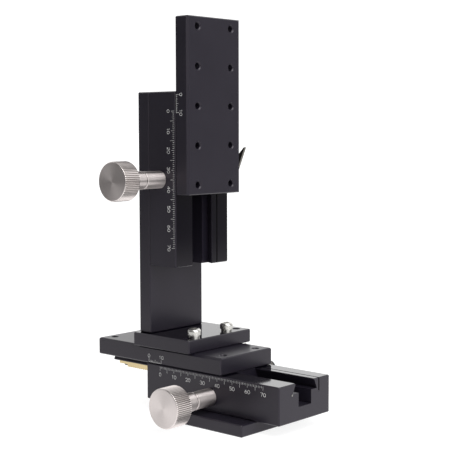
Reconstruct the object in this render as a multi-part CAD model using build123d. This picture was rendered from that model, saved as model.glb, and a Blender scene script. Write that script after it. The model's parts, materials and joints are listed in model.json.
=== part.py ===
"""Two-axis manual stage: a flat and an upright dovetail slide, each with a rack and pinion.

Millimetres, +Z up. The origin is the middle of the foot plate's underside. X runs along the lower
slide, and the knobs stand on the -Y side. Both tables are drawn at the end of their travel where
the scales start: the lower table out to -X, the upright table at the top.

Both slides are the same unit, drawn lying flat on its own underside: x along the travel, y across,
z up, with the middle of the underside as its origin.
"""
from build123d import *
import math
import os

# Slide body
stage_length = 90.0
stage_width = 40.0
body_height = 19.0
edge_chamfer = 0.5
length_over_travel = 15.0

# Dovetail: a groove in the body, and the table's tongue in it
dovetail_depth = 5.0
dovetail_floor_width = 19.2
dovetail_angle = 65.0
groove_lip_chamfer = 0.4
tongue_corner_chamfer = 0.5
slide_gap = 0.2
flank_gap = 0.1

# Slot under the groove, for the rack and the pinion
slot_width = 10.0
slot_depth = 7.0

# Slit beside the groove: the wall between them is the gib
gib_slit_width = 0.9
gib_wall = 1.15
gib_slit_depth = 6.6

# Table
table_thickness = 8.8
table_side_chamfer = 1.2
table_hole_rows = 5
table_hole_pitch = 20.0
table_hole_spacing = 25.0
tap_drill = 3.3
tap_countersink = 4.4

# Rack and pinion
gear_module = 0.5
pinion_teeth = 12
pressure_angle = 20.0
pinion_addendum = 0.45
pinion_dedendum = 0.6
rack_addendum = 0.4
rack_dedendum = 0.6
backlash = 0.08
pinion_width = 9.0
rack_height = 4.0
rack_width = 9.4
rack_end_gap = 0.2
rack_seat_length = 6.1
rack_seat_rise = 1.4

# Pinion shaft and what carries it
shaft_diameter = 4.6
running_gap = 0.03
seat_gap = 0.02
pinion_bore = 8.6
bushing_sleeve_diameter = 8.5
bushing_diameter = 9.0
bushing_chamfer = 0.4
bushing_stand_off = 12.5
washer_diameter = 8.2
washer_thickness = 0.5
washer_bore_gap = 0.1
axial_play = 0.05
journal_diameter = 4.0
end_bush_diameter = 6.0
end_bush_length = 4.5
journal_end_gap = 0.4

# Knob
knob_diameter = 20.0
knob_length = 10.3
knob_chamfer = 0.6
knurl_count = 64
knurl_depth = 0.42
neck_diameter = 9.5
neck_length = 9.9
neck_chamfer = 0.4
shaft_depth_in_knob = 5.0
knob_screw_diameter = 3.0
knob_screw_from_rim = 2.6
knob_screw_angle = -55.0
knob_screw_recess = 0.3

# Clamp
clamp_below_top = 3.5
clamp_thread = 4.0
thread_gap = 0.05
clamp_tip_gap = 0.1
clamp_hub_diameter = 7.4
clamp_hub_stand_off = 0.4
clamp_hub_length = 6.0
lever_root_radius = 4.0
lever_tip_radius = 0.3
lever_reach = 19.5
lever_thickness = 1.3
lever_inset = 0.2
lever_angle = 146.0
clamp_head_diameter = 6.4
clamp_head_height = 2.2

# Gib adjusting screws
gib_screw_diameter = 3.0
gib_screw_places = (-35.0, -15.0, 15.0, 35.0)
gib_screw_recess = 0.6

# Pin in the end of the body
end_pin_diameter = 1.0
end_pin_length = 8.0
end_pin_proud = 0.3
end_pin_chamfer = 0.15
end_pin_below_groove = 0.5
end_pin_beside_groove = 0.5

# Rack screws, M2 with a low head
rack_screw_diameter = 1.6
rack_screw_hole = 2.2
rack_screw_head = 3.8
rack_screw_head_height = 1.5
rack_screw_from_end = 2.0
rack_screw_bite = 4.0

# M4 screws: the modelled shank is the core that fills a tapped hole
core_diameter = 3.2
clearance_hole = 4.5
cap_head_diameter = 7.0
cap_head_height = 4.0
bracket_screw_head_height = 3.2
bracket_screw_head_round = 1.5
lock_washer_diameter = 5.8
lock_washer_thickness = 1.25
cap_socket = 3.0
socket_over_head_height = 0.5
head_chamfer_over_height = 0.1
counterbore_diameter = 8.0
counterbore_depth = 4.4
body_tap_depth = 9.0
body_screw_x = 15.0
body_screw_y = 13.0
screw_bite = 6.0

# Foot plate
foot_length = 60.0
foot_width = 60.0
foot_thickness = 6.0
foot_hole_x = 25.0
foot_hole_y = 12.5
flat_head_diameter = 8.0
flat_head_recess = 0.2
flat_head_gap = 0.05
flat_head_socket = 2.5
flat_head_socket_depth = 1.4

# Bracket: a plate on the lower table, and the column on it
bracket_length = 40.5
bracket_width = 48.0
bracket_thickness = 7.0
bracket_edge_from_screws = 6.0
bracket_side_shift = 1.25
bracket_hole_row = 1
spare_over_screw_spacing = 13.0
column_thickness = 8.0
column_height = 126.0
column_from_bracket_edge = 2.0
column_screw_y = 12.5
column_screw_bite = 10.0
column_tap_runout = 1.0

# Worked out from the sizes above
half_length = stage_length / 2
half_width = stage_width / 2
rest_shift = (stage_length - length_over_travel) / 2
floor_height = body_height - dovetail_depth
slot_floor_height = floor_height - slot_depth
clamp_height = body_height - clamp_below_top
flank_slope = 1 / math.tan(math.radians(dovetail_angle))
floor_half = dovetail_floor_width / 2
mouth_half = floor_half - dovetail_depth * flank_slope
flank_inset = flank_gap / math.sin(math.radians(dovetail_angle))
table_underside = body_height + slide_gap
tongue_underside = floor_height + slide_gap
tongue_slope_depth = table_underside - tongue_underside
stage_height = table_underside + table_thickness
slit_inner = floor_half + gib_wall
slit_outer = slit_inner + gib_slit_width
pitch_radius = gear_module * pinion_teeth / 2
pitch = math.pi * gear_module
pitch_line_height = tongue_underside - rack_height + rack_addendum
pinion_axis_height = pitch_line_height - pitch_radius
rack_half = half_length - rack_end_gap
# An odd number of spaces, so that one is at the rack's middle
rack_spaces = 2 * math.floor((rack_half - rack_seat_length) / pitch) + 1
rack_screw_x = half_length - rack_screw_from_end
core_radius = core_diameter / 2
neck_start = bushing_stand_off + washer_thickness + 2 * axial_play
knob_start = neck_start + neck_length
knob_face = knob_start + knob_length


def block(size_x, size_y, size_z, chamfer_size):
    """Box standing on z = 0, with every edge chamfered."""
    box = Pos(0, 0, size_z / 2) * Box(size_x, size_y, size_z)
    return chamfer(box.edges(), chamfer_size)


def rod(radius, low, high):
    """Cylinder on the Z axis between two heights."""
    return Pos(0, 0, (low + high) / 2) * Cylinder(radius, high - low)


def turned(points):
    """Solid turned about the Z axis from an outline of (radius, height) points."""
    outline = Polyline(*[(radius, 0, height) for radius, height in points], close=True)
    return revolve(make_face(outline), Axis.Z)


def along_x(points, length):
    """Prism centred on x = 0 from an outline of (y, z) points."""
    return extrude(Plane.YZ * make_face(Polyline(*points, close=True)), amount=length / 2, both=True)


def along_y(points, width):
    """Prism centred on y = 0 from an outline of (x, z) points."""
    return extrude(Plane.XZ * make_face(Polyline(*points, close=True)), amount=width / 2, both=True)


def hexagon(across_flats, low, high):
    """Hexagonal prism on the Z axis between two heights."""
    across_corners = across_flats / math.cos(math.radians(30))
    return extrude(Pos(0, 0, low) * RegularPolygon(across_corners / 2, 6), amount=high - low)


def at_places(piece, places):
    """The same piece at several locations, as one group of solids."""
    return Part() + [place * piece for place in places]


def cap_screw(length, head_diameter, head_height, shank_diameter, socket, head_round=0.0):
    """Socket cap screw whose head stands on z = 0 and whose shank points down."""
    rim = rod(head_diameter / 2, 0, head_height).edges().group_by(Axis.Z)[-1]
    head = fillet(rim, head_round) if head_round else chamfer(rim, head_height * head_chamfer_over_height)
    shank = rod(shank_diameter / 2, -length, 0)
    return head + shank - hexagon(socket, head_height * (1 - socket_over_head_height), head_height)


def grub_screw(diameter, length):
    """Headless screw from z = 0 down, with a hexagon socket in its top."""
    socket = diameter / 2
    return rod(diameter / 2, -length, 0) - hexagon(socket, -socket, 0)


def flank_half(height, inset=0.0):
    """Half width of the dovetail at a height above the body's underside."""
    return floor_half - (height - floor_height) * flank_slope - inset


# The slide unit's own pieces


def drive_axis():
    """Location on the knob side: +Z points out along the pinion axis, from the body's face."""
    return Pos(0, -half_width, pinion_axis_height) * Rot(90, 0, 0)


def clamp_axis(x):
    """Location on the clamp side: +Z points out of the body's face at gib height."""
    return Pos(x, half_width, clamp_height) * Rot(-90, 0, 0)


def body_hole_places():
    """The four tapped holes in the underside, as places on it."""
    return [Pos(x, y, 0) for x in (-body_screw_x, body_screw_x) for y in (-body_screw_y, body_screw_y)]


def stage_body():
    """Block with the dovetail groove, the rack slot, the gib slit and the bores."""
    lip = groove_lip_chamfer
    over = body_height + edge_chamfer
    groove = [
        (-floor_half, floor_height),
        (-mouth_half - lip * flank_slope, body_height - lip),
        (-mouth_half - lip, body_height),
        (-mouth_half - lip, over),
        (mouth_half + lip, over),
        (mouth_half + lip, body_height),
        (mouth_half + lip * flank_slope, body_height - lip),
        (floor_half, floor_height),
        (slot_width / 2, floor_height),
        (slot_width / 2, slot_floor_height),
        (-slot_width / 2, slot_floor_height),
        (-slot_width / 2, floor_height),
    ]
    slit = [
        (slit_inner, body_height - gib_slit_depth),
        (slit_outer, body_height - gib_slit_depth),
        (slit_outer, over),
        (slit_inner, over),
    ]
    cut_length = stage_length + 2 * edge_chamfer
    body = block(stage_length, stage_width, body_height, edge_chamfer)
    body -= along_x(groove, cut_length)
    body -= along_x(slit, cut_length)
    pinion_way = rod(pinion_bore / 2, -half_width - slot_width / 2, edge_chamfer)
    body -= drive_axis() * pinion_way
    bush_end = half_width + slot_width / 2 + end_bush_length + journal_end_gap
    body -= drive_axis() * rod(end_bush_diameter / 2 + seat_gap, -bush_end, -half_width)
    wall_to_slit = half_width - slit_outer
    body -= clamp_axis(0) * rod(clamp_thread / 2, -wall_to_slit - gib_slit_width / 2, edge_chamfer)
    gib_hole = rod(gib_screw_diameter / 2, -wall_to_slit - gib_slit_width / 2, edge_chamfer)
    body -= at_places(gib_hole, [clamp_axis(x) for x in gib_screw_places])
    body -= at_places(rod(tap_drill / 2, -edge_chamfer, body_tap_depth), body_hole_places())
    pin_hole = rod(end_pin_diameter / 2 + seat_gap, -end_pin_length, edge_chamfer)
    return body - end_pin_place() * pin_hole


def end_pin_place():
    """Middle of the end pin on the body's +x end face, with +Z pointing out of it."""
    across = -floor_half - end_pin_beside_groove
    up = floor_height - end_pin_below_groove
    return Pos(half_length, across, up) * Rot(0, 90, 0)


def end_pin():
    pin = rod(end_pin_diameter / 2, -end_pin_length, end_pin_proud)
    return end_pin_place() * chamfer(pin.edges().filter_by(GeomType.CIRCLE), end_pin_chamfer)


def stage_table():
    """Slab with the male dovetail under it and two rows of tapped holes."""
    side = table_side_chamfer
    outline = [
        (-half_width, 0),
        (half_width, 0),
        (half_width, table_thickness - side),
        (half_width - side, table_thickness),
        (-half_width + side, table_thickness),
        (-half_width, table_thickness - side),
    ]
    slab = block(stage_length, stage_width, table_thickness, edge_chamfer)
    slab = Pos(0, 0, table_underside) * (slab & along_x(outline, stage_length))
    corner = tongue_corner_chamfer
    root = edge_chamfer
    tongue = [
        (-flank_half(table_underside, flank_inset), table_underside + root),
        (-flank_half(table_underside, flank_inset), table_underside),
        (-flank_half(tongue_underside + corner, flank_inset), tongue_underside + corner),
        (-flank_half(tongue_underside, flank_inset) + corner, tongue_underside),
        (flank_half(tongue_underside, flank_inset) - corner, tongue_underside),
        (flank_half(tongue_underside + corner, flank_inset), tongue_underside + corner),
        (flank_half(table_underside, flank_inset), table_underside),
        (flank_half(table_underside, flank_inset), table_underside + root),
    ]
    table = slab + along_x(tongue, stage_length - 2 * edge_chamfer)
    depth = (tap_countersink - tap_drill) / 2
    hole = turned([
        (0, table_underside - slide_gap / 2),
        (tap_drill / 2, table_underside - slide_gap / 2),
        (tap_drill / 2, stage_height - depth),
        (tap_countersink / 2 + edge_chamfer, stage_height + edge_chamfer),
        (0, stage_height + edge_chamfer),
    ])
    table -= at_places(hole, table_hole_places())
    thread = rod(rack_screw_diameter / 2, tongue_underside - slide_gap, tongue_underside + rack_screw_bite)
    return table - at_places(thread, rack_screw_places())


def table_hole_places():
    middle = (table_hole_rows - 1) / 2
    return [
        Pos((row - middle) * table_hole_pitch, side * table_hole_spacing / 2, 0)
        for row in range(table_hole_rows)
        for side in (-1, 1)
    ]


def rack_screw_places():
    return [Pos(-rack_screw_x, 0, 0), Pos(rack_screw_x, 0, 0)]


def rack():
    """Toothed brass bar under the tongue, with a flat seat for a screw at each end."""
    tip = pitch_line_height - rack_addendum
    root = pitch_line_height + rack_dedendum
    slope = math.tan(math.radians(pressure_angle))
    space_half = pitch / 4 + backlash / 4
    tip_half = space_half + rack_addendum * slope
    root_half = space_half - rack_dedendum * slope
    toothed_half = (rack_spaces / 2) * pitch
    seat = tip + rack_seat_rise
    outline = [(-rack_half, tongue_underside), (-rack_half, seat), (-toothed_half, seat), (-toothed_half, tip)]
    for index in range(rack_spaces):
        middle = (index - (rack_spaces - 1) / 2) * pitch
        outline += [
            (middle - tip_half, tip),
            (middle - root_half, root),
            (middle + root_half, root),
            (middle + tip_half, tip),
        ]
    outline += [(toothed_half, tip), (toothed_half, seat), (rack_half, seat), (rack_half, tongue_underside)]
    bar = along_y(outline, rack_width)
    return bar - at_places(rod(rack_screw_hole / 2, seat - slide_gap, tongue_underside), rack_screw_places())


def rack_screws():
    """The two screws that hold the rack up against the tongue."""
    seat = pitch_line_height - rack_addendum + rack_seat_rise
    length = tongue_underside - seat + rack_screw_bite - slide_gap
    screw = cap_screw(length, rack_screw_head, rack_screw_head_height,
                      rack_screw_diameter - 2 * thread_gap, rack_screw_diameter)
    turned_over = Pos(0, 0, seat) * Rot(180, 0, 0)
    return at_places(turned_over * screw, rack_screw_places())


def pinion_outline():
    """Outline of the pinion: involute flanks on straight roots, one tooth pointing at +y."""
    base = pitch_radius * math.cos(math.radians(pressure_angle))
    tip = pitch_radius + pinion_addendum
    root = pitch_radius - pinion_dedendum

    def involute(radius):
        roll = math.sqrt(max((radius / base) ** 2 - 1, 0))
        return roll - math.atan(roll)

    half_at_pitch = math.pi / (2 * pinion_teeth) - backlash / (4 * pitch_radius)

    def half_angle(radius):
        return half_at_pitch + involute(pitch_radius) - involute(max(radius, base))

    radii = (root, base, (base + tip) / 2, tip)
    points = []
    for tooth in range(pinion_teeth):
        middle = math.pi / 2 + tooth * 2 * math.pi / pinion_teeth
        flank = [(radius, middle - half_angle(radius)) for radius in radii]
        flank += [(radius, middle + half_angle(radius)) for radius in reversed(radii)]
        points += [(radius * math.cos(angle), radius * math.sin(angle)) for radius, angle in flank]
    return points


def pinion_shaft():
    """Shaft with the pinion cut on it, meshed with the rack of the table at rest."""
    middle = -half_width
    teeth = extrude(make_face(Polyline(*pinion_outline(), close=True)), amount=pinion_width / 2, both=True)
    teeth = Pos(0, 0, middle) * Rot(0, 0, math.degrees(rest_shift / pitch_radius)) * teeth
    shaft = rod(shaft_diameter / 2, middle, knob_start + shaft_depth_in_knob)
    bush_inner = middle - slot_width / 2 - end_bush_length
    journal = rod(journal_diameter / 2, bush_inner, middle)
    return drive_axis() * (teeth + shaft + journal)


def end_bush():
    """Brass bush in the far wall of the slot, round the shaft's journal."""
    near = -half_width - slot_width / 2
    bush = rod(end_bush_diameter / 2, near - end_bush_length, near)
    return drive_axis() * (bush - rod(journal_diameter / 2 + running_gap, near - end_bush_length, near))


def bushing():
    """Bushing in the knob side of the body, with its shoulder on the body's face."""
    inner = -half_width + slot_width / 2
    bore = shaft_diameter / 2 + running_gap
    sleeve = bushing_sleeve_diameter / 2
    outer = bushing_diameter / 2
    return drive_axis() * turned([
        (bore, inner),
        (sleeve, inner),
        (sleeve, 0),
        (outer, 0),
        (outer, bushing_stand_off - bushing_chamfer),
        (outer - bushing_chamfer, bushing_stand_off),
        (bore, bushing_stand_off),
    ])


def thrust_washer():
    low = bushing_stand_off + axial_play
    washer = rod(washer_diameter / 2, low, low + washer_thickness)
    hole = rod(shaft_diameter / 2 + washer_bore_gap, low, low + washer_thickness)
    return drive_axis() * (washer - hole)


def knob():
    """Knob with a straight knurl on its rim, chamfered edges and a neck."""
    outer = knob_diameter / 2
    points = []
    for index in range(2 * knurl_count):
        angle = math.pi * index / knurl_count
        radius = outer if index % 2 == 0 else outer - knurl_depth
        points.append((radius * math.cos(angle), radius * math.sin(angle)))
    rim = Pos(0, 0, knob_start) * extrude(make_face(Polyline(*points, close=True)), amount=knob_length)
    envelope = turned([
        (0, knob_start),
        (outer - knob_chamfer, knob_start),
        (outer, knob_start + knob_chamfer),
        (outer, knob_face - knob_chamfer),
        (outer - knob_chamfer, knob_face),
        (0, knob_face),
    ])
    neck = turned([
        (0, neck_start),
        (neck_diameter / 2 - neck_chamfer, neck_start),
        (neck_diameter / 2, neck_start + neck_chamfer),
        (neck_diameter / 2, knob_start + knob_chamfer),
        (0, knob_start + knob_chamfer),
    ])
    bore = rod(shaft_diameter / 2 + seat_gap, neck_start, knob_start + shaft_depth_in_knob + seat_gap)
    screw_hole = rod(knob_screw_diameter / 2 + seat_gap, 0, neck_diameter)
    return drive_axis() * ((rim & envelope) + neck - bore - knob_screw_place() * screw_hole)


def knob_screw_place():
    """On the drive axis, with +Z pointing out along the knob's set screw."""
    up_the_neck = knob_start - knob_screw_from_rim
    return Pos(0, 0, up_the_neck) * Rot(0, 0, knob_screw_angle) * Rot(0, 90, 0)


def knob_screw():
    top = neck_diameter / 2 - knob_screw_recess
    length = top - shaft_diameter / 2 - seat_gap
    return drive_axis() * knob_screw_place() * Pos(0, 0, top) * grub_screw(knob_screw_diameter, length)


def gib_screws():
    """Grub screws in the clamp side that set how tightly the gib bears on the tongue."""
    length = half_width - gib_screw_recess - slit_inner - clamp_tip_gap
    screw = Pos(0, 0, -gib_screw_recess) * grub_screw(gib_screw_diameter - 2 * thread_gap, length)
    return at_places(screw, [clamp_axis(x) for x in gib_screw_places])


def clamp_lever():
    """Pointed lever on a round hub, around the clamp screw."""
    low = clamp_hub_stand_off
    high = low + clamp_hub_length
    root = Circle(lever_root_radius)
    tip = Pos(lever_reach - lever_tip_radius, 0) * Circle(lever_tip_radius)
    blade = extrude(make_hull(root.edges() + tip.edges()), amount=lever_thickness)
    blade = Pos(0, 0, high - lever_inset - lever_thickness) * Rot(0, 0, -lever_angle) * blade
    hub = rod(clamp_hub_diameter / 2, low, high)
    return clamp_axis(0) * (hub + blade - rod(clamp_thread / 2, low, high))


def clamp_screw():
    """Screw whose tip presses on the gib, with its head on the lever's hub."""
    seat = clamp_hub_stand_off + clamp_hub_length
    length = seat + half_width - slit_inner - clamp_tip_gap
    screw = cap_screw(length, clamp_head_diameter, clamp_head_height,
                      clamp_thread - 2 * thread_gap, clamp_head_diameter / 2)
    return clamp_axis(0) * Pos(0, 0, seat) * screw


def slide_unit():
    """The pieces of one slide, by name, with its table and rack at the scale's start."""
    at_rest = Pos(-rest_shift, 0, 0)
    return {
        "body": stage_body(),
        "end_pin": end_pin(),
        "bushing": bushing(),
        "thrust_washer": thrust_washer(),
        "end_bush": end_bush(),
        "gib_screws": gib_screws(),
        "table": at_rest * stage_table(),
        "rack": at_rest * rack(),
        "rack_screws": at_rest * rack_screws(),
        "pinion_shaft": pinion_shaft(),
        "knob": knob(),
        "knob_screw": knob_screw(),
        "clamp_lever": clamp_lever(),
        "clamp_screw": clamp_screw(),
    }


# Where the pieces around the slides go
lower_slide = Pos(0, 0, foot_thickness)
bracket_screw_x = -rest_shift + bracket_hole_row * table_hole_pitch
bracket_x = bracket_screw_x + bracket_edge_from_screws - bracket_length / 2
bracket_z = foot_thickness + stage_height
column_z = bracket_z + bracket_thickness
column_x = bracket_x - bracket_length / 2 + column_from_bracket_edge + column_thickness / 2
column_face = column_x + column_thickness / 2
upright_middle = column_z + column_height - half_length
upright_slide = Pos(column_face, 0, upright_middle) * Rot(0, 90, 0)


def foot_plate():
    """Plate under the lower body, with countersunk holes for its screws and four tapped holes."""
    plate = block(foot_length, foot_width, foot_thickness, edge_chamfer)
    head = flat_head_diameter / 2 + flat_head_gap
    sink = turned([
        (0, -edge_chamfer),
        (head, -edge_chamfer),
        (head, flat_head_recess),
        (clearance_hole / 2, flat_head_recess + head - clearance_hole / 2),
        (clearance_hole / 2, foot_thickness + edge_chamfer),
        (0, foot_thickness + edge_chamfer),
    ])
    plate -= at_places(sink, body_hole_places())
    tapped = rod(tap_drill / 2, -edge_chamfer, foot_thickness + edge_chamfer)
    corners = [Pos(x, y, 0) for x in (-foot_hole_x, foot_hole_x) for y in (-foot_hole_y, foot_hole_y)]
    return plate - at_places(tapped, corners)


def foot_screws():
    """Flat-head screws from below, through the foot plate into the lower body."""
    head = flat_head_diameter / 2
    screw = turned([
        (0, flat_head_recess),
        (head, flat_head_recess),
        (core_radius, flat_head_recess + head - core_radius),
        (core_radius, foot_thickness + screw_bite),
        (0, foot_thickness + screw_bite),
    ])
    screw -= hexagon(flat_head_socket, 0, flat_head_recess + flat_head_socket_depth)
    return at_places(screw, body_hole_places())


def bracket_plate():
    """Plate on the lower table, with two screw holes, two spare ones and the column's screws."""
    plate = block(bracket_length, bracket_width, bracket_thickness, edge_chamfer)
    plate = Pos(bracket_x, bracket_side_shift, bracket_z) * plate
    through = rod(clearance_hole / 2, -edge_chamfer, bracket_thickness + edge_chamfer)
    spare = (table_hole_spacing + spare_over_screw_spacing) / 2
    places = bracket_screw_places() + [
        Pos(bracket_screw_x, bracket_side_shift + side * spare, bracket_z) for side in (-1, 1)
    ]
    plate -= at_places(through, places)
    sunk = through + rod(counterbore_diameter / 2, -edge_chamfer, counterbore_depth)
    return plate - at_places(sunk, column_screw_places())


def bracket_screw_places():
    return [Pos(bracket_screw_x, side * table_hole_spacing / 2, bracket_z) for side in (-1, 1)]


def column_screw_places():
    return [Pos(column_x, side * column_screw_y, bracket_z) for side in (-1, 1)]


def bracket_screws():
    """Round-headed screws through the bracket plate into the lower table."""
    seat = bracket_thickness + lock_washer_thickness
    screw = cap_screw(seat + screw_bite, cap_head_diameter, bracket_screw_head_height,
                      core_diameter, cap_socket, bracket_screw_head_round)
    return at_places(Pos(0, 0, seat) * screw, bracket_screw_places())


def lock_washers():
    """Narrow washers between the bracket screws' heads and the plate."""
    seat = bracket_thickness + lock_washer_thickness
    washer = rod(lock_washer_diameter / 2, bracket_thickness, seat)
    washer -= rod(core_radius + thread_gap, bracket_thickness, seat)
    return at_places(washer, bracket_screw_places())


def column():
    """Upright plate on the bracket plate, drilled for the upright slide and for its own screws."""
    post = Pos(column_x, 0, column_z) * block(column_thickness, stage_width, column_height, edge_chamfer)
    tap_top = bracket_thickness + column_screw_bite + column_tap_runout
    tapped = rod(tap_drill / 2, bracket_thickness - edge_chamfer, tap_top)
    post -= at_places(tapped, column_screw_places())
    through = rod(clearance_hole / 2, -column_thickness - edge_chamfer, edge_chamfer)
    sunk = rod(counterbore_diameter / 2, -column_thickness - edge_chamfer, -column_thickness + counterbore_depth)
    return post - at_places(through + sunk, [upright_slide * place for place in body_hole_places()])


def column_screws():
    """Cap screws from under the bracket plate into the column's foot."""
    seat = counterbore_depth
    length = bracket_thickness - seat + column_screw_bite
    screw = cap_screw(length, cap_head_diameter, cap_head_height, core_diameter, cap_socket)
    return at_places(Pos(0, 0, seat) * Rot(180, 0, 0) * screw, column_screw_places())


def upright_screws():
    """Cap screws from the column's back into the upright slide's body."""
    seat = column_thickness - counterbore_depth
    screw = cap_screw(seat + screw_bite, cap_head_diameter, cap_head_height, core_diameter, cap_socket)
    turned_over = Pos(0, 0, -seat) * Rot(180, 0, 0)
    return at_places(turned_over * screw, [upright_slide * place for place in body_hole_places()])


def stage_nodes():
    """Every piece in its place, by node name."""
    nodes = {
        "foot_plate": foot_plate(),
        "foot_screws": foot_screws(),
        "bracket_plate": bracket_plate(),
        "bracket_screws": bracket_screws(),
        "lock_washers": lock_washers(),
        "column": column(),
        "column_screws": column_screws(),
        "upright_screws": upright_screws(),
    }
    unit = slide_unit()
    for prefix, place in (("x", lower_slide), ("z", upright_slide)):
        for name, piece in unit.items():
            nodes[f"{prefix}_{name}"] = place * piece
    return nodes


os.makedirs("parts", exist_ok=True)
for node_name, node in stage_nodes().items():
    export_step(node, f"parts/{node_name}.step")
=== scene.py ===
"""Looks of the two-axis dovetail stage: materials, scales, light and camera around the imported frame.

Metres, in the frame's own axes: X along the lower slide, the knobs on the -Y side, Z up.
"""
import json
import math

import bpy
from mathutils import Euler, Matrix, Vector

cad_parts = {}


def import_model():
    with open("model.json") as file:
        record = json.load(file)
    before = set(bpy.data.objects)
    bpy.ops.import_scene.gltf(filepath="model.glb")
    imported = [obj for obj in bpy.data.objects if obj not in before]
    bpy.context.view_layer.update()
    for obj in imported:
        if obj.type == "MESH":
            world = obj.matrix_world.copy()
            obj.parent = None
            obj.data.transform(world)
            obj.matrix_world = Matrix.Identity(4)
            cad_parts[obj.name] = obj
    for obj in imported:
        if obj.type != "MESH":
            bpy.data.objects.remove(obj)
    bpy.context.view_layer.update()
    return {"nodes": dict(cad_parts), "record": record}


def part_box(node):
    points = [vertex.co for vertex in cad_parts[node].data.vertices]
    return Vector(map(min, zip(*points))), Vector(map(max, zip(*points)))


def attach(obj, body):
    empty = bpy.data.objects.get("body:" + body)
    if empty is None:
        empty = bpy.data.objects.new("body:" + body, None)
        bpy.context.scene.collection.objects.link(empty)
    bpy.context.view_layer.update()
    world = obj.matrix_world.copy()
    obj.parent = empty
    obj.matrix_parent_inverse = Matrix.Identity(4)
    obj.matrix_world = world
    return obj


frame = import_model()
nodes = frame["nodes"]
mm = 0.001

# Camera of the photograph, whose image is 450 x 450
image_width = 450
camera_place = Vector((381.525, -434.770, 147.333)) * mm
camera_yaw = math.radians(41.798)
camera_pitch = math.radians(4.766)
camera_roll = math.radians(-0.146)
focal_pixels = 1139.23
sensor_mm = 36.0
nearest_seen = 0.01
farthest_seen = 100.0

# Engraved lines: every fifth tick is longer, and every tenth has a figure and its own length
line_width = 0.14 * mm
paint_height = 0.012 * mm
longer_every = 5
figure_every = 10

# Millimetre scale in the middle of a slide's body, whose ticks hang from one level near its edge
scale_length = 70
scale_start = -scale_length / 2 * mm
scale_from_edge = 0.75 * mm
scale_tick = 1.1 * mm
scale_longer_tick = 2.8 * mm
scale_figure_tick = 2.1 * mm
scale_figure_gap = 1.2 * mm

# Vernier on a slide's table, whose ticks stand on a line beyond the gap between body and table
table_gap = 0.2 * mm
vernier_divisions = 10
vernier_length = 9.0 * mm
vernier_start = -43.2 * mm
vernier_from_edge = 0.75 * mm
vernier_line_width = 0.12 * mm
vernier_tick = 0.7 * mm
vernier_longer_tick = 1.3 * mm
vernier_figure_tick = 1.9 * mm
vernier_figure_gap = 0.35 * mm

# Figures: strips of one width, in boxes as wide as this share of their height. Each strip of a digit
# stands above the one before it by a share of the paint's height, so that no two faces coincide
digit_height = 1.75 * mm
digit_aspect = 0.8
digit_spacing = 0.22
digit_stroke = 0.21 * mm
stroke_step = 0.3
arc_step_degrees = 20

# At a corner a strip's half width is divided by the cosine of half the turn, or by this if it is more
sharpest_mitre = 0.6

# Ground faces: their axis on each slide's body, the film of slide oil on them, and their skin's depth
ground_axis = {"x": "Z", "z": "X"}
oil_film = {"x": 0.4, "z": 0.1}
ground_skin = 0.05 * mm

# The slit that leaves the gib standing, from the body's middle and down from its ground face
slit_middle = 11.2 * mm
slit_width = 0.9 * mm
slit_depth = 6.6 * mm

# Knobs: how far in from the rim the knurl and the worn chamfer reach, how high the painted shade
# stands in the knurl, and the pitch of the turning rings
knurl_zone = 0.5 * mm
knob_edge = 0.6 * mm
knurl_shade_height = 0.35 * mm
ring_pitch = 0.13 * mm

# The clamp lever's bright hub is this much larger in radius than the screw head on it
hub_over_screw_head = 0.6 * mm

# Studio, by direction from the stage. Its light is dim towards the front and brighter towards the
# rear, times one share at the horizon and another further up, and white paper stands behind the
# stage as the camera looks. A range is of the dot product with a way, or of the height
front_light = 0.12
rear_light = 0.27
rear_way = (-0.1, 1.0, 0.0)
rear_range = (-0.5, 0.6)
horizon_share = 0.4
upper_share = 1.4
upper_range = (0.0, 0.35)
paper_light = 1.01
paper_way = (-0.667, 0.745, 0.0)
paper_range = (0.0, 0.6)

# A bright reflector to the right of the stage, which the turned steel shows
reflector_light = 2.4
reflector_way = (0.98, -0.16, 0.1)
reflector_range = (0.74, 0.94)

# Floor: paper near the stage, which fades into the studio's horizon over this range of distance
floor_reach = 45.0
floor_fade = (0.2, 1.0)
floor_glow = 0.86
floor_tone = 0.28
floor_fibre = 0.02
far_floor_tone = 0.02

# Softbox above the stage's right front
softbox_place = (0.43, -0.16, 0.82)
softbox_target = (0.0, 0.0, 0.1)
softbox_side = 0.7
softbox_power = 6.9


# Node trees


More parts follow.
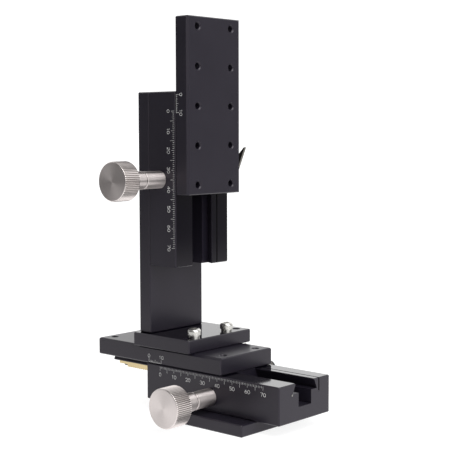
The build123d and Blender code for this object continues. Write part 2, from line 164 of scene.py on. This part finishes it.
class Graph:
    """A node tree of a material or a world, with a short way to add and link nodes."""

    def __init__(self, owner, shader_type="BSDF_PRINCIPLED"):
        owner.use_nodes = True
        self.owner = owner
        self.tree = owner.node_tree
        self.shader = next(n for n in self.tree.nodes if n.type == shader_type)

    def feed(self, socket, value):
        if isinstance(value, bpy.types.NodeSocket):
            self.tree.links.new(value, socket)
        else:
            socket.default_value = value

    def feed_named(self, node, inputs):
        for key, value in inputs.items():
            self.feed(node.inputs[key.replace("_", " ")], value)

    def set(self, **inputs):
        """Feeds the shader's own sockets."""
        self.feed_named(self.shader, inputs)

    def add(self, kind, settings=None, **inputs):
        node = self.tree.nodes.new("ShaderNode" + kind)
        for key, value in (settings or {}).items():
            setattr(node, key, value)
        self.feed_named(node, inputs)
        return node

    def operate(self, kind, operation, values):
        node = self.add(kind, {"operation": operation})
        for socket, value in zip(node.inputs, values):
            self.feed(socket, value)
        return node

    def math(self, operation, *values):
        return self.operate("Math", operation, values).outputs["Value"]

    def vector(self, operation, *values):
        """Result of vector maths, which is a plain number for a length or a dot product."""
        result = "Value" if operation in ("LENGTH", "DOT_PRODUCT") else "Vector"
        return self.operate("VectorMath", operation, values).outputs[result]

    def near(self, value, middle, reach):
        """One where the value is within reach of the middle, and nought elsewhere."""
        return self.math("COMPARE", value, middle, reach)

    def spread(self, value, low, high, source=(0.0, 1.0), smooth=False):
        """Value mapped from the source range to low and high, in a straight line or smoothly."""
        settings = {"interpolation_type": "SMOOTHSTEP" if smooth else "LINEAR"}
        ends = {"From_Min": source[0], "From_Max": source[1], "To_Min": low, "To_Max": high}
        return self.add("MapRange", settings, Value=value, **ends).outputs["Result"]

    def mix(self, factor, first, second, kind="RGBA"):
        """Colour between two others, or vector where kind says so."""
        return self.add("Mix", {"data_type": kind}, Factor=factor, A=first, B=second).outputs["Result"]

    def place(self):
        """Position on the piece, which moves and turns with it."""
        return self.add("TexCoord").outputs["Object"]

    def part(self, vector, axis):
        return self.add("SeparateXYZ", Vector=vector).outputs[axis]

    def from_axis(self, axis_point):
        """Position from a point on an axis along Y, and the share of it that is square to the axis."""
        arm = self.vector("SUBTRACT", self.place(), tuple(axis_point))
        return arm, self.vector("MULTIPLY", arm, (1.0, 0.0, 1.0))

    def to_world(self, direction):
        """A direction on the piece, as it is in the studio."""
        settings = {"vector_type": "VECTOR", "convert_from": "OBJECT", "convert_to": "WORLD"}
        return self.add("VectorTransform", settings, Vector=direction).outputs["Vector"]

    def noise(self, place, scale, detail, roughness):
        return self.add("TexNoise", Vector=place, Scale=scale, Detail=detail, Roughness=roughness).outputs[0]

    def bump(self, height, distance, strength, **normal):
        node = self.add("Bump", Height=height, Distance=distance, Strength=strength, **normal)
        self.set(Normal=node.outputs["Normal"])


# Materials


def surface(name):
    return Graph(bpy.data.materials.new(name))


def rgb(red, green, blue):
    return (red, green, blue, 1.0)


def grey(level):
    return rgb(level, level, level)


def shade(colour, factor):
    """A colour made darker or lighter."""
    return rgb(*[share * factor for share in colour])


def black_anodised(name, ground_face=None, oil=0.0, slit=False):
    """Satin black anodised aluminium: fine blasted grain and slight cloudiness.

    ground_face is the axis and the level of a face that was ground smooth before anodising,
    and oil is how much of a film of slide oil is on it. slit is set for a body, where the inside
    of the narrow slit under that face is made fully rough and painted nearly black as shade.
    """
    graph = surface(name)
    place = graph.place()
    grain = graph.noise(place, scale=5200.0, detail=3.0, roughness=0.6)
    cloud = graph.noise(place, scale=38.0, detail=3.0, roughness=0.55)
    colour = graph.mix(cloud, rgb(0.0098, 0.0084, 0.0138), rgb(0.0140, 0.0122, 0.0190))
    roughness = graph.math("ADD", graph.spread(cloud, 0.30, 0.37), graph.spread(grain, -0.02, 0.02))
    if ground_face:
        axis, level = ground_face
        height = graph.part(place, axis)
        ground = graph.math("GREATER_THAN", height, level - ground_skin)
        roughness = graph.math("MULTIPLY", roughness, graph.spread(ground, 1.0, 0.25))
        colour = graph.mix(ground, colour, rgb(0.0010, 0.0005, 0.0028))
        grain = graph.math("MULTIPLY", grain, graph.spread(ground, 1.0, 0.2))
        graph.set(Coat_Weight=graph.math("MULTIPLY", ground, oil), Coat_Roughness=0.06)
        if slit:
            # Painted shade: the inside of the slit is painted nearly black and made fully rough
            across = graph.near(graph.part(place, "Y"), slit_middle, slit_width / 2 + paint_height)
            above_bottom = graph.math("GREATER_THAN", height, level - slit_depth)
            slit_shade = graph.math("MULTIPLY", across, above_bottom)
            colour = graph.mix(slit_shade, colour, grey(0.001))
            roughness = graph.math("MAXIMUM", roughness, slit_shade)
    graph.set(Base_Color=colour, Roughness=roughness, IOR=1.42, Specular_Tint=rgb(1.0, 0.94, 1.0))
    graph.bump(grain, distance=0.02 * mm, strength=0.35)
    return graph.owner


def turned_steel(name, axis_point, knob_radius):
    """Bright turned stainless, with its rings about an axis along Y through axis_point.

    The bottoms of the knurl are painted dark as shade, its ridges are lighter steel, the rim's edge
    gets that lighter colour as a painted highlight, and the chamfers on the knob's rim are worn round.
    """
    graph = surface(name)
    arm, flat = graph.from_axis(axis_point)
    radius = graph.vector("LENGTH", flat)
    along = graph.math("ADD", radius, graph.part(arm, "Y"))
    normal = graph.add("NewGeometry").outputs["Normal"]

    # Where on the piece: the flat faces, the knurl, and the slanted edge of the rim
    facing = graph.math("ABSOLUTE", graph.part(normal, "Y"))
    knurl_radius = knob_radius - knurl_zone
    knurl = graph.math("GREATER_THAN", radius, knurl_radius)
    off_knurl = graph.spread(knurl, 1.0, 0.0)
    slanted = graph.near(facing, math.sqrt(0.5), 0.2)
    edge = graph.math("MULTIPLY", slanted, graph.math("GREATER_THAN", radius, knob_radius - knob_edge))

    # Tone: uneven from ring to ring, lighter steel on the knurl's ridges and as a painted highlight on
    # the rim's edge, and painted shade down in the knurl
    steel = (0.61, 0.560, 0.547)
    line = graph.add("CombineXYZ", X=along, Y=0.0, Z=0.0).outputs["Vector"]
    uneven = graph.noise(line, scale=900.0, detail=4.0, roughness=0.7)
    tone = graph.mix(uneven, shade(steel, 0.88), shade(steel, 1.08))
    # Painted shade: darker towards the bottoms of the knurl, but not on the rim's edge
    knurl_shade = graph.spread(radius, 0.9, 0.0, (knurl_radius, knurl_radius + knurl_shade_height))
    knurl_shade = graph.math("MULTIPLY", knurl_shade, graph.spread(edge, 1.0, 0.0))
    ridges = graph.mix(knurl_shade, rgb(0.80, 0.74, 0.72), rgb(0.06, 0.055, 0.05))
    tone = graph.mix(graph.math("MAXIMUM", knurl, edge), tone, ridges)

    # Sheen: drawn out across the rings, and sharper on the flat faces and the knurl
    groove = graph.to_world(graph.vector("CROSS_PRODUCT", (0.0, 1.0, 0.0), flat))
    across = graph.vector("CROSS_PRODUCT", normal, groove)
    combed = graph.math("MULTIPLY", graph.spread(facing, 0.92, 0.75), off_knurl)
    dull = graph.math("MULTIPLY", graph.spread(facing, 0.41, 0.34), graph.spread(knurl, 1.0, 0.78))
    roughness = graph.math("ADD", dull, graph.spread(uneven, -0.04, 0.05))
    graph.set(Base_Color=tone, Metallic=1.0, Roughness=roughness, Anisotropic=combed, Tangent=across)

    # Shape: the rings, and the worn edge that turns from the flat face's way to the rim's
    outward = graph.to_world(graph.vector("NORMALIZE", flat))
    endward = graph.vector("NORMALIZE", graph.vector("MULTIPLY", normal, (0.0, 1.0, 0.0)))
    turn = graph.spread(radius, 0.0, 1.0, (knob_radius - knob_edge, knob_radius))
    worn = graph.vector("NORMALIZE", graph.mix(turn, endward, outward, "VECTOR"))
    ring = graph.math("SINE", graph.math("MULTIPLY", along, 2 * math.pi / ring_pitch))
    rings = graph.math("ADD", graph.math("MULTIPLY", ring, 0.35), uneven)
    height = graph.math("MULTIPLY", rings, off_knurl)
    graph.bump(height, distance=0.004 * mm, strength=0.6, Normal=graph.mix(edge, normal, worn, "VECTOR"))
    return graph.owner


def machined(graph):
    """Fine grain and larger patches of a machined surface, with the grain as bump."""
    place = graph.place()
    grain = graph.noise(place, scale=2600.0, detail=3.0, roughness=0.6)
    patch = graph.noise(place, scale=260.0, detail=2.0, roughness=0.5)
    graph.bump(grain, distance=0.01 * mm, strength=0.4)
    return grain, patch


def plain_steel(name, colour, roughness):
    """Machined steel with a fine, slightly uneven surface."""
    graph = surface(name)
    grain, patch = machined(graph)
    graph.set(Base_Color=graph.mix(patch, shade(colour, 0.82), shade(colour, 1.12)), Metallic=1.0)
    graph.set(Roughness=graph.spread(grain, roughness - 0.05, roughness + 0.08))
    return graph.owner


def lever_steel(name, axis_point, hub_radius):
    """Clamp lever: a blackened blade on a bright hub, about an axis along Y through axis_point."""
    graph = surface(name)
    grain, patch = machined(graph)
    radius = graph.vector("LENGTH", graph.from_axis(axis_point)[1])
    hub = graph.math("LESS_THAN", radius, hub_radius)
    blade = graph.mix(patch, rgb(0.13, 0.12, 0.11), rgb(0.19, 0.18, 0.165))
    graph.set(Base_Color=graph.mix(hub, blade, rgb(0.52, 0.50, 0.48)), Metallic=1.0)
    graph.set(Roughness=graph.spread(grain, 0.24, 0.38))
    return graph.owner


def milled_brass():
    """Brass bar with milling lines across it and a little tarnish."""
    graph = surface("milled_brass")
    place = graph.place()
    stretched = graph.vector("MULTIPLY", place, (1.0, 0.05, 1.0))
    lines = graph.noise(stretched, scale=4200.0, detail=2.0, roughness=0.6)
    tarnish = graph.noise(place, scale=190.0, detail=4.0, roughness=0.6)
    tone = graph.mix(tarnish, rgb(0.58, 0.46, 0.25), rgb(0.75, 0.62, 0.37))
    graph.set(Base_Color=tone, Metallic=1.0, Roughness=graph.spread(tarnish, 0.28, 0.42))
    graph.bump(lines, distance=0.012 * mm, strength=0.6)
    return graph.owner


def scale_paint():
    """Pale filling of the engraved scales, a little worn."""
    graph = surface("scale_paint")
    wear = graph.noise(graph.place(), scale=1500.0, detail=3.0, roughness=0.65)
    whole = graph.spread(wear, 0.0, 1.0, (0.35, 0.6))
    graph.set(Base_Color=graph.mix(whole, grey(0.46), rgb(0.80, 0.80, 0.79)), Roughness=0.55)
    graph.bump(wear, distance=0.01 * mm, strength=0.3)
    return graph.owner


# Dressing of the CAD nodes


def dress(name, material):
    """Puts a material on every slot of a CAD node."""
    for slot in nodes[name].material_slots:
        slot.material = material


def middle_of(name):
    low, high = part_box(name)
    return (low + high) / 2


def radius_of(name):
    """Radius of a node that is round about an axis along Y."""
    low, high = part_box(name)
    return (high.x - low.x) / 2


def dress_slide(slide):
    """Materials of one slide that lie by its ground face or about its own axes."""
    body = slide + "_body"
    knob = slide + "_knob"
    screw = slide + "_clamp_screw"
    axis = ground_axis[slide]
    level = getattr(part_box(body)[1], axis.lower())
    dress(body, black_anodised("black_anodised_" + slide, (axis, level), oil_film[slide], slit=True))
    turned = turned_steel("turned_steel_" + slide, middle_of(knob), radius_of(knob))
    for name in (knob, slide + "_bushing", slide + "_pinion_shaft"):
        dress(name, turned)
    hub_radius = radius_of(screw) + hub_over_screw_head
    dress(slide + "_clamp_lever", lever_steel("lever_steel_" + slide, middle_of(screw), hub_radius))


def dress_frame():
    """Materials of the CAD nodes: by their record slots first, and then those made for one place."""
    ground_steel = plain_steel("ground_steel", (0.30, 0.29, 0.28), 0.5)
    by_slot = {
        "black_anodised": black_anodised("black_anodised"),
        "stainless": plain_steel("bright_steel", (0.66, 0.65, 0.62), 0.27),
        "dark_steel": plain_steel("dark_steel", (0.07, 0.068, 0.065), 0.45),
        "brass": milled_brass(),
        "black_steel": plain_steel("black_oxide_steel", (0.045, 0.045, 0.05), 0.34),
        "grey_lever": ground_steel,
    }
    for part in frame["record"]["subparts"]:
        dress(part["node"], by_slot[part["material_slot"]])
    plate_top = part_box("bracket_plate")[1].z
    dress("bracket_plate", black_anodised("black_anodised_plate", ("Z", plate_top)))
    for slide in ("x", "z"):
        dress_slide(slide)
        dress(slide + "_end_pin", ground_steel)


# Scales


def arc(x, y, radius_x, radius_y, start, end):
    """Points on a piece of an ellipse, between two angles in degrees."""
    steps = max(2, round(abs(end - start) / arc_step_degrees))
    angles = [math.radians(start + (end - start) * i / steps) for i in range(steps + 1)]
    return [(x + radius_x * math.cos(angle), y + radius_y * math.sin(angle)) for angle in angles]


# Strokes of each digit in a box of width 1 and height 1. The scales have no 8 and no 9
digit_strokes = {
    "0": [arc(0.5, 0.5, 0.5, 0.5, 0, 360)],
    "1": [[(0.25, 0.8), (0.6, 1.0), (0.6, 0.0)]],
    "2": [arc(0.5, 0.7, 0.5, 0.3, 165, -35) + [(0.0, 0.0)], [(0.0, 0.0), (1.0, 0.0)]],
    "3": [arc(0.5, 0.75, 0.46, 0.25, 150, -90), arc(0.5, 0.25, 0.5, 0.25, 90, -150)],
    "4": [[(0.75, 0.0), (0.75, 1.0)], [(0.75, 1.0), (0.0, 0.3), (1.0, 0.3)]],
    "5": [[(0.95, 1.0), (0.15, 1.0), (0.08, 0.55)] + arc(0.48, 0.32, 0.52, 0.32, 130, -140)],
    "6": [arc(0.5, 0.3, 0.5, 0.3, 0, 360), arc(1.0, 0.3, 1.0, 0.7, 180, 105)],
    "7": [[(0.0, 1.0), (1.0, 1.0), (0.35, 0.0)]],
}


def unit(start, end):
    """Direction from one point to another, or None where they are the same."""
    reach = math.dist(start, end)
    return ((end[0] - start[0]) / reach, (end[1] - start[1]) / reach) if reach else None


def mitre(before, point, after):
    """Direction of a strip at one of its points, and how far its sides lie from that point."""
    ways = [way for way in (unit(before, point), unit(point, after)) if way]
    along = unit((0, 0), (sum(way[0] for way in ways), sum(way[1] for way in ways)))
    turn = along[0] * ways[0][0] + along[1] * ways[0][1]
    return along, digit_stroke / 2 / max(turn, sharpest_mitre)


def tick_length(tick, plain, longer, with_figure):
    if tick % figure_every == 0:
        return with_figure
    return longer if tick % longer_every == 0 else plain


class Engraving:
    """Paint of one engraving on the knob side of a slide, drawn flat and raised a little.

    x runs along the travel from the body's middle, and y up from the body's underside.
    """

    def __init__(self, slide):
        self.slide = slide
        self.body_low, self.body_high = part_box(slide + "_body")
        self.vertices = []
        self.faces = []

    def edge(self):
        """Height of the body's edge beside the table."""
        size = self.body_high - self.body_low
        return size.z if self.slide == "x" else size.x

    def matrix(self, surface_y):
        """Places the drawing on a face at surface_y, with its z out of the face."""
        middle = (self.body_low + self.body_high) / 2
        if self.slide == "x":
            return Matrix((
                (1, 0, 0, middle.x),
                (0, 0, -1, surface_y),
                (0, 1, 0, self.body_low.z),
                (0, 0, 0, 1),
            ))
        return Matrix((
            (0, 1, 0, self.body_low.x),
            (0, 0, -1, surface_y),
            (-1, 0, 0, middle.z),
            (0, 0, 0, 1),
        ))

    def bar(self, x0, y0, x1, y1):
        """Adds a bar between two opposite corners."""
        low = len(self.vertices)
        high = low + 4
        for z in (-paint_height, paint_height):
            self.vertices += [(x0, y0, z), (x1, y0, z), (x1, y1, z), (x0, y1, z)]
        self.faces += [(high, high + 1, high + 2, high + 3), (low + 3, low + 2, low + 1, low)]
        for i in range(4):
            after = (i + 1) % 4
            self.faces.append((low + i, low + after, high + after, high + i))

    def tick(self, x, low, high):
        self.bar(x - line_width / 2, low, x + line_width / 2, high)

    def stroke(self, points, top):
        """Adds a strip along a line of points, with mitred corners."""
        closed = math.dist(points[0], points[-1]) < digit_stroke / 10
        if closed:
            points = points[:-1]
        count = len(points)
        first = len(self.vertices)
        for i, (x, y) in enumerate(points):
            before = points[i - 1] if closed or i > 0 else points[i]
            after = points[(i + 1) % count] if closed or i < count - 1 else points[i]
            along, half = mitre(before, (x, y), after)
            for side in (half, -half):
                for z in (-paint_height, top):
                    self.vertices.append((x - along[1] * side, y + along[0] * side, z))
        for i in range(count if closed else count - 1):
            a = first + 4 * i
            b = first + 4 * ((i + 1) % count)
            self.faces += [(a + 3, b + 3, b + 1, a + 1), (a, b, b + 2, a + 2)]
            self.faces += [(a + 1, b + 1, b, a), (a + 2, b + 2, b + 3, a + 3)]
        if not closed:
            last = first + 4 * (count - 1)
            self.faces += [(first, first + 2, first + 3, first + 1), (last + 1, last + 3, last + 2, last)]

    def figure(self, number, x, foot):
        """Adds a number centred on x, with its foot at a height."""
        digits = str(number)
        width = digit_height * digit_aspect
        step = width + digit_height * digit_spacing
        left = x - (step * (len(digits) - 1) + width) / 2
        for index, digit in enumerate(digits):
            for layer, stroke in enumerate(digit_strokes[digit]):
                points = [(left + index * step + u * width, foot + v * digit_height) for u, v in stroke]
                self.stroke(points, paint_height * (1 + stroke_step * layer))

    def paint(self, name, surface_y, material, body):
        """Makes the piece with the material on a face at surface_y, and attaches it to the body."""
        matrix = self.matrix(surface_y)
        mesh = bpy.data.meshes.new(name)
        mesh.from_pydata([tuple(matrix @ Vector(v)) for v in self.vertices], [], self.faces)
        mesh.materials.append(material)
        piece = bpy.data.objects.new(name, mesh)
        bpy.context.scene.collection.objects.link(piece)
        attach(piece, body)


def body_scale(slide, body, material):
    """Millimetre scale on the slide's body, with its figures below it."""
    engraving = Engraving(slide)
    line = engraving.edge() - scale_from_edge
    foot = line - scale_figure_tick - scale_figure_gap - digit_height
    for tick in range(scale_length + 1):
        x = scale_start + tick * mm
        engraving.tick(x, line - tick_length(tick, scale_tick, scale_longer_tick, scale_figure_tick), line)
        if tick % figure_every == 0:
            engraving.figure(tick, x, foot)
    engraving.paint(slide + "_scale", engraving.body_low.y, material, body)


def table_vernier(slide, body, material):
    """Vernier of ten divisions over nine millimetres on the table's edge, with its figures above it."""
    engraving = Engraving(slide)
    line = engraving.edge() + table_gap + vernier_from_edge
    foot = line + vernier_figure_tick + vernier_figure_gap
    end = vernier_start + vernier_length + line_width / 2
    engraving.bar(vernier_start - line_width / 2, line - vernier_line_width, end, line)
    for tick in range(vernier_divisions + 1):
        x = vernier_start + vernier_length * tick / vernier_divisions
        length = tick_length(tick, vernier_tick, vernier_longer_tick, vernier_figure_tick)
        engraving.tick(x, line, line + length)
        if tick % figure_every == 0:
            engraving.figure(tick, x, foot)
    engraving.paint(slide + "_vernier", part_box(slide + "_table")[0].y, material, body)


# Stage, light and camera


def horizon(graph, direction):
    """Brightness of the studio: dim in front, brighter at the rear, and white behind the stage."""
    rear = graph.vector("DOT_PRODUCT", direction, rear_way)
    light = graph.spread(rear, front_light, rear_light, rear_range, smooth=True)
    height = graph.part(direction, "Z")
    share = graph.spread(height, horizon_share, upper_share, upper_range, smooth=True)
    behind = graph.vector("DOT_PRODUCT", direction, paper_way)
    paper = graph.spread(behind, 0.0, paper_light, paper_range, smooth=True)
    return graph.math("ADD", graph.math("MULTIPLY", light, share), paper)


def white_to_camera(graph, brightness):
    """The studio's brightness, which a picture shows as white paper from every side."""
    return graph.math("MAXIMUM", brightness, graph.add("LightPath").outputs["Is Camera Ray"])


def floor():
    """Pale sheet that is lit near the stage and runs on into the studio's horizon."""
    graph = surface("floor_paper")
    place = graph.place()
    far = graph.spread(graph.vector("LENGTH", place), 0.0, 1.0, floor_fade, smooth=True)
    fibre = graph.noise(place, scale=420.0, detail=3.0, roughness=0.6)
    paper = graph.mix(fibre, grey(floor_tone - floor_fibre), grey(floor_tone + floor_fibre))
    graph.set(Base_Color=graph.mix(far, paper, grey(far_floor_tone)), Roughness=0.9)
    studio = white_to_camera(graph, horizon(graph, graph.vector("NORMALIZE", place)))
    glow = graph.math("ADD", graph.spread(far, floor_glow, 0.0), graph.math("MULTIPLY", far, studio))
    graph.set(Emission_Color=grey(1.0), Emission_Strength=glow)
    corners = [(-floor_reach, -floor_reach), (floor_reach, -floor_reach)]
    corners += [(floor_reach, floor_reach), (-floor_reach, floor_reach)]
    mesh = bpy.data.meshes.new("floor")
    mesh.from_pydata([(x, y, 0) for x, y in corners], [], [(0, 1, 2, 3)])
    mesh.materials.append(graph.owner)
    sheet = bpy.data.objects.new("floor", mesh)
    bpy.context.scene.collection.objects.link(sheet)


def world():
    """Soft white studio with a reflector on the right."""
    graph = Graph(bpy.data.worlds.new("studio"), "BACKGROUND")
    direction = graph.add("TexCoord").outputs["Generated"]
    toward = graph.vector("DOT_PRODUCT", direction, Vector(reflector_way).normalized()[:])
    reflector = graph.spread(toward, 0.0, reflector_light, reflector_range, smooth=True)
    brightness = graph.math("ADD", horizon(graph, direction), reflector)
    graph.set(Color=grey(1.0), Strength=white_to_camera(graph, brightness))
    bpy.context.scene.world = graph.owner


def softbox():
    """Square area light above the stage."""
    light = bpy.data.lights.new("overhead", "AREA")
    light.shape = "SQUARE"
    light.size = softbox_side
    light.energy = softbox_power
    way = Vector(softbox_target) - Vector(softbox_place)
    lamp = bpy.data.objects.new("overhead", light)
    lamp.location = softbox_place
    lamp.rotation_euler = way.to_track_quat("-Z", "Y").to_euler()
    bpy.context.scene.collection.objects.link(lamp)


def camera():
    """The photograph's camera."""
    data = bpy.data.cameras.new("photo_camera")
    data.sensor_fit = "HORIZONTAL"
    data.sensor_width = sensor_mm
    data.lens = focal_pixels * sensor_mm / image_width
    data.clip_start = nearest_seen
    data.clip_end = farthest_seen
    eye = bpy.data.objects.new("photo_camera", data)
    level = Euler((math.pi / 2 - camera_pitch, 0, camera_yaw)).to_matrix()
    turned = level @ Matrix.Rotation(camera_roll, 3, "Z")
    eye.matrix_world = Matrix.Translation(camera_place) @ turned.to_4x4()
    bpy.context.scene.collection.objects.link(eye)
    bpy.context.scene.camera = eye


dress_frame()
paint = scale_paint()
body_scale("x", "base", paint)
body_scale("z", "x_carriage", paint)
table_vernier("x", "x_carriage", paint)
table_vernier("z", "z_carriage", paint)
floor()
world()
softbox()
camera()
bpy.context.scene.view_settings.view_transform = "Standard"
